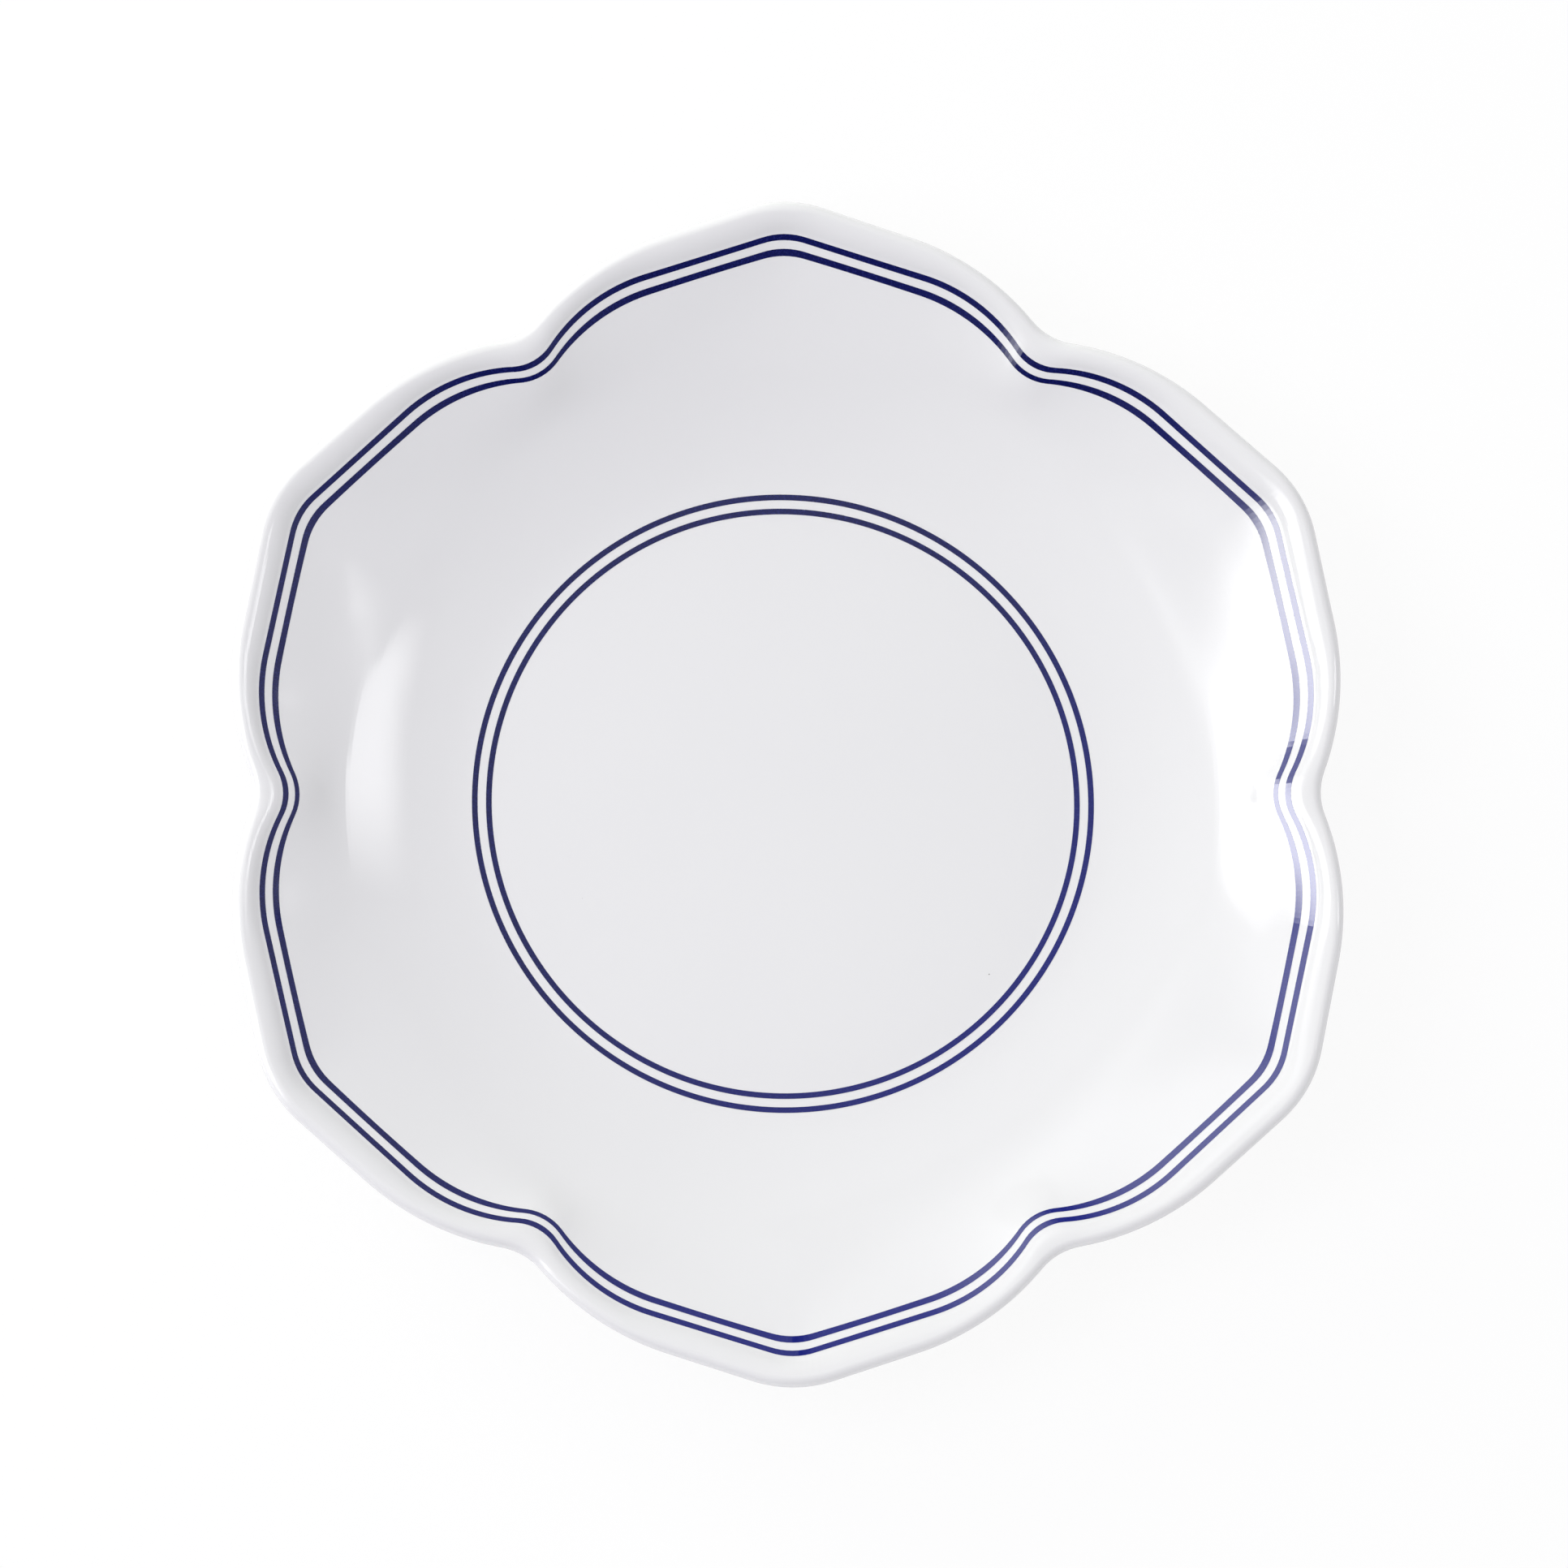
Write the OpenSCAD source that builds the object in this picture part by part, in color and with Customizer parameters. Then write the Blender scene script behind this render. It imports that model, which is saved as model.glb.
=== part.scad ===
// Scalloped dessert plate: one piece of glazed porcelain with six pointed lobes,
// a curved wall on a round foot ring, and four fired-on cobalt lines.
// Millimetres, +Z up. The origin is the middle of the foot ring, on the surface
// that the plate stands on. Two of the six lobes point along +Y and -Y.

/* [Rim outline] */
// Distance from the centre to the tip of a lobe
tip_radius = 105; // [96:0.5:125]
// How far the notch between two lobes is set in from the tip circle
notch_depth = 10.9; // [9:0.1:12.5]
// Radius of the arc that rounds the tip of a lobe
tip_round = 22.5; // [14:0.5:30]
// Angle by which the flank beside a tip leaves the tip circle
flank_angle = 18.3; // [16.5:0.1:20]
// Radius of the shoulder, the full curve between a flank and a notch
shoulder_round = 48; // [40:0.5:54]
// Radius of the hollow arc at the bottom of a notch
notch_round = 11.5; // [6:0.5:16]

/* [Bowl] */
// Radius of the flat floor
floor_radius = 50; // [40:0.5:52]
// Radius of the small arc by which the wall leaves the floor
knee_curve = 45; // [36:0.5:54]
// Slope of the wall where that arc ends, in degrees
knee_slope = 12.7; // [9:0.1:16]
// Radius of the wide arc of the wall above it
wall_curve = 111; // [90:1:135]
// Steepest slope of the wall, in degrees
wall_slope = 27; // [23:0.5:31]
// Thickness of the floor and the wall
wall_thick = 3.6; // [2.6:0.1:4.5]
// Radius inside which the wall is round, with no lobes
round_wall_radius = 76; // [64:0.5:78]
// How much the rim line climbs for each millimetre that the outline bulges
lobe_climb = 0.14; // [0:0.01:0.3]

/* [Lip] */
// Thickness of the rounded lip
lip_thick = 3; // [2:0.1:3.4]
// Height of the lip's crest over the outer rim line, at a tip
lip_rise_tip = 2.6; // [1.6:0.1:4]
// Height of the lip's crest over the outer rim line, at a notch
lip_rise_notch = 1.5; // [0.8:0.1:2.5]

/* [Foot ring] */
// Height of the foot ring under the floor
foot_height = 2.6; // [1.5:0.1:5]
// Outer radius of the ground face that the plate stands on
foot_radius = 55.6; // [48:0.1:60]
// Width of the ground face
foot_face = 2.4; // [1.5:0.1:5]
// Slope of the foot ring's two sides, in millimetres for each millimetre of height
foot_flare = 0.4; // [0:0.05:0.8]

/* [Cobalt lines] */
// Width of each coloured line, seen from above
line_width = 1; // [0.4:0.1:1.4]
// Thickness of the fired colour
line_raise = 0.1; // [0.05:0.01:0.3]
// Radius of the middle of the outer line in the well
well_line_radius = 54.6; // [50:0.1:58]
// Distance between the two lines in the well, middle to middle
well_line_pitch = 2.5; // [1.8:0.05:3]
// Distance between the two rim lines, middle to middle, seen from above
rim_line_pitch = 2.3; // [1.8:0.05:3]
// Distance from the edge in to the middle of the outer rim line, at a tip
rim_line_inset_tip = 6.1; // [5.5:0.1:8]
// Distance from the edge in to the middle of the outer rim line, at a notch
rim_line_inset_notch = 5.8; // [5.3:0.1:7]
// Radius of the rim lines' arc at a tip
line_tip_round = 12.5; // [8:0.5:20]
// Angle by which the rim lines leave the tip circle beside a tip
line_flank_angle = 17.5; // [16:0.1:19.5]
// Radius of the rim lines' curve along a shoulder
line_shoulder_round = 31; // [24:0.5:38]
// Radius of the rim lines' hollow arc at a notch
line_notch_round = 8.5; // [5:0.5:12]

/* [Hidden] */

lobe_count = 6;
half_lobe = 180 / lobe_count;
first_tip = 30;
porcelain_white = [0.93, 0.93, 0.94];
cobalt_blue = [0.12, 0.14, 0.42];

// ---- The outline of a lobe: tip arc, straight flank, shoulder arc, notch arc ----

function unit(angle) = [cos(angle), sin(angle)];
function angle_of(p) = atan2(p.y, p.x);
function bend(fraction) = fraction * fraction * (3 - 2 * fraction);
function clamp01(value) = min(1, max(0, value));
function mix(a, b, share) = a + (b - a) * share;

// The flank's length follows from the other sizes: the shoulder arc has to touch the notch arc.
function flank_length(start, heading, shoulder, notch_centre, notch_arc) =
    let (
        reach = notch_centre - (start - shoulder * unit(heading - 90)),
        along = reach * unit(heading),
        across2 = reach * reach - pow(shoulder + notch_arc, 2)
    )
    along - sqrt(along * along - across2);

// Half a lobe, with its tip on the X axis: its tip arc, its flank as a point and the direction
// of its normal, its shoulder arc, its notch arc, and the directions where one passes to the next
function lobe(tip, notch, tip_arc, flank, shoulder, notch_arc) =
    let (
        tip_centre = [tip - tip_arc, 0],
        flank_start = tip_centre + tip_arc * unit(flank),
        notch_centre = (notch + notch_arc) * unit(half_lobe),
        straight = flank_length(flank_start, flank + 90, shoulder, notch_centre, notch_arc),
        flank_end = flank_start + straight * unit(flank + 90),
        shoulder_centre = flank_end - shoulder * unit(flank),
        meet = shoulder_centre + shoulder * unit(angle_of(notch_centre - shoulder_centre))
    )
    [
        [tip_centre, tip_arc],
        [flank_start, flank],
        [shoulder_centre, shoulder],
        [notch_centre, notch_arc],
        [angle_of(flank_start), angle_of(flank_end), angle_of(meet)]
    ];

// Where a ray from the origin leaves a circle, or with side = -1 where it enters
function ray_to_arc(ray, arc, side) =
    let (along = ray * arc[0])
    along + side * sqrt(along * along - arc[0] * arc[0] + arc[1] * arc[1]);

// Radius of a lobed outline in a direction that lies phi from the nearest tip
function outline(shape, phi) =
    let (
        ray = unit(phi),
        limit = shape[4],
        flank_normal = unit(shape[1][1])
    )
    phi <= limit[0] ? ray_to_arc(ray, shape[0], 1)
    : phi <= limit[1] ? (shape[1][0] * flank_normal) / (ray * flank_normal)
    : phi <= limit[2] ? ray_to_arc(ray, shape[2], 1)
    : ray_to_arc(ray, shape[3], -1);

notch_radius = tip_radius - notch_depth;
line_tip = tip_radius - rim_line_inset_tip;
line_notch = notch_radius - rim_line_inset_notch;
edge_lobe = lobe(tip_radius, notch_radius, tip_round, flank_angle, shoulder_round, notch_round);
line_lobe = lobe(line_tip, line_notch, line_tip_round, line_flank_angle,
                 line_shoulder_round, line_notch_round);

// The grid's columns are close together where the outline turns sharply. Each is a lobe's
// number, its angle from that lobe's tip, and the side of the tip that it lies on.
tip_steps = 2;
flank_steps = 2;
shoulder_steps = 5;
notch_steps = 3;
limits = edge_lobe[4];
half_columns = [
    for (i = [0:tip_steps - 1]) limits[0] * i / tip_steps,
    for (i = [0:flank_steps - 1]) mix(limits[0], limits[1], i / flank_steps),
    for (i = [0:shoulder_steps - 1]) mix(limits[1], limits[2], i / shoulder_steps),
    for (i = [0:notch_steps - 1]) mix(limits[2], half_lobe, i / notch_steps)
];
half_count = len(half_columns);
columns = [
    for (k = [0:lobe_count - 1])
        each [
            for (i = [0:half_count - 1]) [k, half_columns[i], 1],
            [k, half_lobe, 1],
            for (i = [half_count - 1:-1:1]) [k + 1, half_columns[i], -1]
        ]
];
column_count = len(columns);

// ---- The bowl's upper surface ----
// A ring of the surface is named by its base radius, which is its radius where the
// outline neither bulges nor dips. Lobes fade in from round_wall_radius to the rim line.

base_rim = (line_tip + line_notch) / 2;
lobe_depth = (line_tip - line_notch) / 2;
floor_top = foot_height + wall_thick;
knee_end = floor_radius + knee_curve * sin(knee_slope);
knee_rise = knee_curve * (1 - cos(knee_slope));
curve_end = knee_end + wall_curve * (sin(wall_slope) - sin(knee_slope));

function slope_at(base) =
    base <= floor_radius ? 0
    : base <= knee_end ? asin((base - floor_radius) / knee_curve)
    : base >= curve_end ? wall_slope
    : asin(sin(knee_slope) + (base - knee_end) / wall_curve);

function rise_at(base) =
    base <= knee_end
    ? knee_curve * (1 - cos(slope_at(base)))
    : knee_rise + wall_curve * (cos(knee_slope) - cos(slope_at(base)))
        + max(0, base - curve_end) * tan(wall_slope);

function lobe_share(base) = bend(clamp01((base - round_wall_radius) / (base_rim - round_wall_radius)));

// Near the round wall the lobes are a soft wave, and at the rim they have their full shape.
function bulge(base, phi) =
    let (
        share = lobe_share(base),
        soft = lobe_depth * cos(lobe_count * phi),
        full = outline(line_lobe, phi) - base_rim
    )
    share * mix(soft, full, share);

function bowl_point(base, phi) =
    let (out = bulge(base, phi))
    [base + out, floor_top + rise_at(base) + lobe_climb * out];

// The underside is level inside the foot ring and a little past it, and follows the wall beyond.
foot_spread = foot_flare * foot_height;
foot_margin = 1.5;
under_flat_radius = foot_radius + foot_spread + foot_margin;

function under_point(base, phi) =
    base <= under_flat_radius
    ? [base, foot_height]
    : let (top = bowl_point(base, phi)) [top[0], top[1] - wall_thick / cos(slope_at(base))];

// ---- The lip ----
// Its section is round. A tangent from the outer rim line's outer side runs onto it.

lip_round = lip_thick / 2;
line_half = line_width / 2;
lip_upper_steps = 3;
lip_lower_steps = 2;

function lip_centre(phi) =
    let (
        edge = outline(edge_lobe, phi),
        share = (edge - notch_radius) / notch_depth,
        start = bowl_point(base_rim + line_half, phi),
        crest = start[1] + mix(lip_rise_notch, lip_rise_tip, share)
    )
    [edge - lip_round, crest - lip_round];

function lip_angle(phi) =
    let (reach = lip_centre(phi) - bowl_point(base_rim + line_half, phi))
    angle_of(reach) + asin(lip_round / norm(reach));

function lip_point(turn, phi) = lip_centre(phi) + lip_round * unit(turn);

// ---- Rings, and the solids made from them ----

// A ring is a list of [radius, height], one for each column.
function bowl_ring(base) = [for (c = columns) bowl_point(base, c[1])];
function raised_ring(base) = [for (c = columns) bowl_point(base, c[1]) + [0, line_raise]];
function under_ring(base) = [for (c = columns) under_point(base, c[1])];
function lip_upper_ring(step) =
    [for (c = columns) lip_point((90 + lip_angle(c[1])) * (1 - step / lip_upper_steps), c[1])];
function lip_lower_ring(step) =
    [for (c = columns) lip_point((lip_angle(c[1]) - 90) * step / lip_lower_steps, c[1])];

function column_angle(c) = first_tip + 2 * half_lobe * c[0] + c[2] * c[1];
function placed(ring) =
    [for (i = [0:column_count - 1])
        let (a = column_angle(columns[i])) [ring[i][0] * cos(a), ring[i][0] * sin(a), ring[i][1]]];

// Triangles between two rings, facing up where the second ring is the outer one
function strip(first, second) = [
    for (i = [0:column_count - 1])
        let (next = (i + 1) % column_count)
        each [
            [first * column_count + i, second * column_count + next, second * column_count + i],
            [first * column_count + i, first * column_count + next, second * column_count + next]
        ]
];
function reversed(faces) = [for (f = faces) [f[0], f[2], f[1]]];

// A line of colour: its foot is the bowl's own surface between two rings, lifted for its top.
module colour_line(middle) {
    inner = middle - line_half;
    outer = middle + line_half;
    rings = [bowl_ring(inner), bowl_ring(outer), raised_ring(inner), raised_ring(outer)];
    color(cobalt_blue)
        polyhedron(
            points = [for (r = rings) each placed(r)],
            faces = concat(reversed(strip(0, 1)), strip(2, 3), strip(0, 2), reversed(strip(1, 3))),
            convexity = 10
        );
}

rim_outer_middle = base_rim;
rim_inner_middle = base_rim - rim_line_pitch;
well_inner_radius = well_line_radius - well_line_pitch;
wall_steps = 6;
under_steps = 5;
wall_start = well_line_radius + line_half;
wall_stop = rim_inner_middle - line_half;
under_stop = base_rim + line_half;

upper_bases = [
    well_inner_radius - line_half,
    well_inner_radius + line_half,
    well_line_radius - line_half,
    for (i = [0:wall_steps]) mix(wall_start, wall_stop, i / wall_steps),
    rim_inner_middle + line_half,
    rim_outer_middle - line_half,
    rim_outer_middle + line_half
];
under_bases = [
    for (i = [0:under_steps]) mix(under_stop, under_flat_radius, i / under_steps)
];

// The bowl and its lip, as rings from the middle of the floor out over the lip and back below
module bowl() {
    rings = concat(
        [for (b = upper_bases) bowl_ring(b)],
        [for (i = [0:lip_upper_steps]) lip_upper_ring(i)],
        [for (i = [1:lip_lower_steps]) lip_lower_ring(i)],
        [for (b = under_bases) under_ring(b)]
    );
    ring_count = len(rings);
    last = (ring_count - 1) * column_count;
    floor_face = [for (i = [column_count - 1:-1:0]) i];
    under_face = [for (i = [0:column_count - 1]) last + i];
    polyhedron(
        points = [for (r = rings) each placed(r)],
        faces = concat([floor_face, under_face], [for (i = [0:ring_count - 2]) each strip(i, i + 1)]),
        convexity = 10
    );
}

// The foot ring stands on a flat ground face, widens upwards and runs a little way into the floor.
foot_root = 1;
foot_sides = 128;

module foot_ring() {
    inner = foot_radius - foot_face;
    top = foot_height + foot_root;
    rotate_extrude($fn = foot_sides)
        polygon([
            [inner, 0],
            [foot_radius, 0],
            [foot_radius + foot_spread, foot_height],
            [foot_radius + foot_spread, top],
            [inner - foot_spread, top],
            [inner - foot_spread, foot_height]
        ]);
}

module plate_body() {
    color(porcelain_white)
        union() {
            bowl();
            foot_ring();
        }
}

module rim_line_outer() {
    colour_line(rim_outer_middle);
}

module rim_line_inner() {
    colour_line(rim_inner_middle);
}

module well_line_outer() {
    colour_line(well_line_radius);
}

module well_line_inner() {
    colour_line(well_inner_radius);
}

plate_body();
rim_line_outer();
rim_line_inner();
well_line_outer();
well_line_inner();
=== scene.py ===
# %% [markdown]
# # A scalloped porcelain plate, dressed for its picture
#
# The plate is one piece of white porcelain, pressed or cast in a mould, dipped in clear glaze
# and fired standing on a foot ring whose ground face stays bare. Six pointed lobes run round
# its rim. Four thin cobalt lines, two in the well and two along the rim, are ceramic transfers
# that melt into the glaze in a last firing.
#
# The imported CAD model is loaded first. It is the fixed frame: it gives the place and the size
# of each piece, and everything that follows is fitted to it. The CAD solids have flat facets
# between their rings, which a mirror-like glaze would show at once. So each one gets a smooth
# stand-in of the same shape, made by Geometry Nodes from the same few sizes.

import math

import bpy
from mathutils import Matrix, Quaternion, Vector


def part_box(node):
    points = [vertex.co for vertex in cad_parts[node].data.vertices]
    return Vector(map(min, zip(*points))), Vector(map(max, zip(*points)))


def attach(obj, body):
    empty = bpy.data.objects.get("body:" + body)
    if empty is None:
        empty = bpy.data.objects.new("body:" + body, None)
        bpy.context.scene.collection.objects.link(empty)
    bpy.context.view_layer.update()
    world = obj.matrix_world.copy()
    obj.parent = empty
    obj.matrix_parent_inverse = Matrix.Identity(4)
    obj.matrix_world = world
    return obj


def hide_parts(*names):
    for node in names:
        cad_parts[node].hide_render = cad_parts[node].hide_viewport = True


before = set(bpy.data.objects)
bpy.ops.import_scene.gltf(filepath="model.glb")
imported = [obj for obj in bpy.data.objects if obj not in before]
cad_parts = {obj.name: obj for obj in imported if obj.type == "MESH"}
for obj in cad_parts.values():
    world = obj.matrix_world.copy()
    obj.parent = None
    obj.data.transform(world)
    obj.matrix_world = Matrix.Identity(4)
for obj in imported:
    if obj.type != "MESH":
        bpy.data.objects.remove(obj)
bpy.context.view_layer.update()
print("CAD nodes:", ", ".join(sorted(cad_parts)))

# %% [markdown]
# ## The camera
#
# The picture was taken from almost straight above, with a long lens, so there is little
# perspective: the camera leans about eight degrees towards the near side and a little to the
# left. A camera could be placed by hand and nudged until it looks right. Here it is worked out
# from four facts instead: how far away it is, how far it leans and to which side, how it is
# rolled, and where the middle of the foot ring would lie in the picture if the plate were made
# of glass. That keeps every number something that a photographer would recognise. The camera
# comes first, because each finish below is judged through it.

# %% Place the camera
MM = 0.001
PICTURE_SIDE_PX = 1932
FOOT_CENTRE_PX = (962.4, 994.9)
PX_PER_MM = 6.949
CAMERA_DISTANCE = 2500 * MM
CAMERA_LEAN = math.radians(8.0)
CAMERA_LEAN_TOWARDS = math.radians(243.8)
CAMERA_ROLL = math.radians(-0.43)
CAMERA_SEES_TO = 20
SENSOR_WIDTH = 36.0


def place_camera():
    """Makes the camera and returns its object."""
    sideways = math.sin(CAMERA_LEAN)
    towards_camera = Vector((
        sideways * math.cos(CAMERA_LEAN_TOWARDS),
        sideways * math.sin(CAMERA_LEAN_TOWARDS),
        math.cos(CAMERA_LEAN),
    ))
    rough_up = Vector((-math.sin(CAMERA_ROLL), math.cos(CAMERA_ROLL), 0))
    right = rough_up.cross(towards_camera).normalized()
    up = towards_camera.cross(right)

    half_side = PICTURE_SIDE_PX / 2
    px_per_metre = PX_PER_MM / MM
    foot_right = (FOOT_CENTRE_PX[0] - half_side) / px_per_metre
    foot_up = (half_side - FOOT_CENTRE_PX[1]) / px_per_metre
    place = CAMERA_DISTANCE * towards_camera - foot_right * right - foot_up * up

    data = bpy.data.cameras.new("picture_camera")
    data.sensor_width = SENSOR_WIDTH
    data.lens = SENSOR_WIDTH * CAMERA_DISTANCE * px_per_metre / PICTURE_SIDE_PX
    data.clip_end = CAMERA_SEES_TO
    camera = bpy.data.objects.new("picture_camera", data)
    turn = Matrix((right, up, towards_camera)).transposed().to_4x4()
    camera.matrix_world = Matrix.Translation(place) @ turn
    bpy.context.scene.collection.objects.link(camera)
    bpy.context.scene.camera = camera
    return camera


camera = place_camera()
print("Camera lens", round(camera.data.lens, 1), "mm, at", [round(v, 3) for v in camera.location])

# %% [markdown]
# ## The sizes of the plate
#
# These are the driving dimensions of the CAD model, so that the smooth surface and the solid
# agree. Lengths are given in millimetres and turned into metres once. The outline of a lobe is
# an arc at the tip, a straight flank, a wide shoulder arc and a small hollow arc in the notch.

# %% Name the sizes
LOBES = 6
EDGE = {
    "Tip radius": 105.0 * MM,
    "Notch radius": 94.1 * MM,
    "Tip arc": 22.5 * MM,
    "Flank angle": math.radians(18.3),
    "Shoulder arc": 48.0 * MM,
    "Notch arc": 11.5 * MM,
}
LINE = {
    "Line tip radius": 98.9 * MM,
    "Line notch radius": 88.3 * MM,
    "Line tip arc": 12.5 * MM,
    "Line flank angle": math.radians(17.5),
    "Line shoulder arc": 31.0 * MM,
    "Line notch arc": 8.5 * MM,
}
BOWL = {
    "Floor radius": 50.0 * MM,
    "Floor top": 6.2 * MM,
    "Knee curve": 45.0 * MM,
    "Knee slope": math.radians(12.7),
    "Wall curve": 111.0 * MM,
    "Wall slope": math.radians(27),
    "Wall thickness": 3.6 * MM,
    "Round wall radius": 76.0 * MM,
    "Lobe climb": 0.14,
}
LIP = {
    "Lip thickness": 3.0 * MM,
    "Lip rise at tip": 2.6 * MM,
    "Lip rise at notch": 1.5 * MM,
    "Edge softness": 0.5 * MM,
    "Band crown": math.radians(14),
}
FOOT = {
    "Foot height": 2.6 * MM,
    "Foot radius": 55.6 * MM,
    "Foot face": 2.4 * MM,
    "Foot flare": 0.4,
    "Foot edge round": 0.35 * MM,
    "Foot root round": 1.1 * MM,
}
RIBBON = {
    "Line width": 1.0 * MM,
    "Line proud": 0.04 * MM,
}
RIM_LINE_PITCH = 2.3 * MM
WELL_LINE_RADIUS = 54.6 * MM
WELL_LINE_PITCH = 2.5 * MM

cad_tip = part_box("plate_body")[1].y
cad_line_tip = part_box("rim_line_outer")[1].y
line_tip = LINE["Line tip radius"] + RIBBON["Line width"] / 2
print("Tip radius, here and in the CAD model, mm:", EDGE["Tip radius"] / MM, round(cad_tip / MM, 3))
print("Rim line's outer edge at a tip, mm:", line_tip / MM, round(cad_line_tip / MM, 3))

# %% [markdown]
# ## A bench for node trees
#
# Geometry Nodes and shaders are both trees of nodes, and both do a lot of arithmetic. Placing
# Math nodes one by one hides the formula. So one small class wraps an output socket and turns
# the signs of ordinary arithmetic into Math nodes, and a second one adds any other node: it
# takes the node's type, its settings, and what goes into its sockets. A third keeps a radius
# and a height together. Its parts may be wires or plain numbers, so the same line of Python
# works out a number or writes a formula into a tree.

# %% Wrap sockets


class Wire:
    """One output socket, which can be used in arithmetic."""

    def __init__(self, bench, socket):
        self.bench = bench
        self.socket = socket

    def math(self, operation, *others):
        return self.bench.math(operation, self, *others)

    def __add__(self, other):
        return self.math("ADD", other)

    __radd__ = __add__

    def __sub__(self, other):
        return self.math("SUBTRACT", other)

    def __rsub__(self, other):
        return self.bench.math("SUBTRACT", other, self)

    def __mul__(self, other):
        return self.math("MULTIPLY", other)

    __rmul__ = __mul__

    def __truediv__(self, other):
        return self.math("DIVIDE", other)

    def __neg__(self):
        return self.math("MULTIPLY", -1.0)

    def __lt__(self, other):
        return self.math("LESS_THAN", other)

    def __gt__(self, other):
        return self.math("GREATER_THAN", other)


class Pair:
    """A point or an arrow in the plate's section: how far out, and how far up."""

    def __init__(self, out, up):
        self.out = out
        self.up = up

    def __add__(self, other):
        return Pair(self.out + other.out, self.up + other.up)

    def __sub__(self, other):
        return Pair(self.out - other.out, self.up - other.up)

    def times(self, factor):
        return Pair(self.out * factor, self.up * factor)

    def dot(self, other):
        return self.out * other.out + self.up * other.up

    def length(self):
        return self.dot(self).math("SQRT")

    def angle(self):
        return self.up.math("ARCTAN2", self.out)


# %% Wrap trees


class Bench:
    """A node tree, and the way to add nodes to it."""

    def __init__(self, tree):
        self.tree = tree
        self.identifiers = {}
        self.results = {}

    def node(self, kind, sockets=None, **settings):
        """Adds a node. Its settings come first, then the values and links of its inputs."""
        node = self.tree.nodes.new(kind)
        for name, value in settings.items():
            setattr(node, name, value)
        for key, value in (sockets or {}).items():
            if isinstance(value, Wire):
                self.tree.links.new(value.socket, node.inputs[key])
            else:
                node.inputs[key].default_value = value
        return node

    def add(self, kind, sockets=None, out=0, **settings):
        """Adds a node and returns a wire from one of its outputs."""
        return Wire(self, self.node(kind, sockets, **settings).outputs[out])

    def math(self, operation, *values):
        return self.add("ShaderNodeMath", dict(enumerate(values)), operation=operation)

    def inputs(self, names):
        """Gives a group one named input for each size, and returns their wires by name."""
        for name in names:
            socket = self.tree.interface.new_socket(
                name=name, in_out="INPUT", socket_type="NodeSocketFloat")
            self.identifiers[name] = socket.identifier
        source = self.node("NodeGroupInput")
        return {name: Wire(self, source.outputs[name]) for name in names}

    def outputs(self, results):
        """Ends a group. A pair takes two outputs."""
        parts = {}
        for name, value in results.items():
            self.results[name] = isinstance(value, Pair)
            if self.results[name]:
                parts[name + " out"], parts[name + " up"] = value.out, value.up
            else:
                parts[name] = value
        for name, wire in parts.items():
            kind = "NodeSocketGeometry" if wire.socket.type == "GEOMETRY" else "NodeSocketFloat"
            self.tree.interface.new_socket(name=name, in_out="OUTPUT", socket_type=kind)
        self.node("NodeGroupOutput", parts)

    def use(self, group, sizes, **own):
        """Adds a group as one node. Its inputs take the sizes of their names and what is given."""
        sockets = {name: sizes[name] for name in group.identifiers if name in sizes}
        node = self.node("GeometryNodeGroup", {**sockets, **own}, node_tree=group.tree)
        wires = {socket.name: Wire(self, socket) for socket in node.outputs}
        return {
            name: Pair(wires[name + " out"], wires[name + " up"]) if is_pair else wires[name]
            for name, is_pair in group.results.items()
        }


def new_group(name, sizes):
    """Starts a group for Geometry Nodes, and returns its bench and its inputs."""
    bench = Bench(bpy.data.node_groups.new(name, "GeometryNodeTree"))
    return bench, bench.inputs(sizes)


# %% Write a few helpers for formulas


def unit(angle):
    """The arrow of length one that points at an angle, above the outward direction."""
    if isinstance(angle, Wire):
        return Pair(angle.math("COSINE"), angle.math("SINE"))
    return Pair(math.cos(angle), math.sin(angle))


def mix(first, second, share):
    """Blends two numbers, wires or pairs."""
    if isinstance(first, Pair):
        return Pair(mix(first.out, second.out, share), mix(first.up, second.up, share))
    return first + (second - first) * share


def clamped(value):
    return value.math("MAXIMUM", 0.0).math("MINIMUM", 1.0)


def ramp(value, start, width):
    """Runs from 0 at the start to 1 a width further on, with level ends."""
    share = clamped((value - start) / width)
    return share * share * (3.0 - 2.0 * share)


def split(bench, vector):
    """The x, y and z of a vector."""
    return [Wire(bench, part) for part in bench.node("ShaderNodeSeparateXYZ", {0: vector}).outputs]


# %% [markdown]
# ## The outline of a lobe
#
# Half a lobe is enough, because its other half mirrors it and all six are alike. The tip points
# along the first axis. The arcs touch each other with no corner between, which fixes the length
# of the straight flank. A ray from the middle then meets the outline at a radius that depends
# only on the ray's angle from the nearest tip. The outline is needed for the edge and for the
# lines, so it becomes a node group of its own.

# %% Write the outline
HALF_LOBE = math.pi / LOBES


def ray_to_arc(ray, centre, radius, side):
    """How far a ray runs to a circle: side 1 is where it leaves, -1 where it enters."""
    along = ray.dot(centre)
    inside = along * along - centre.dot(centre) + radius * radius
    return along + side * inside.math("MAXIMUM", 0.0).math("SQRT")


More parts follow.
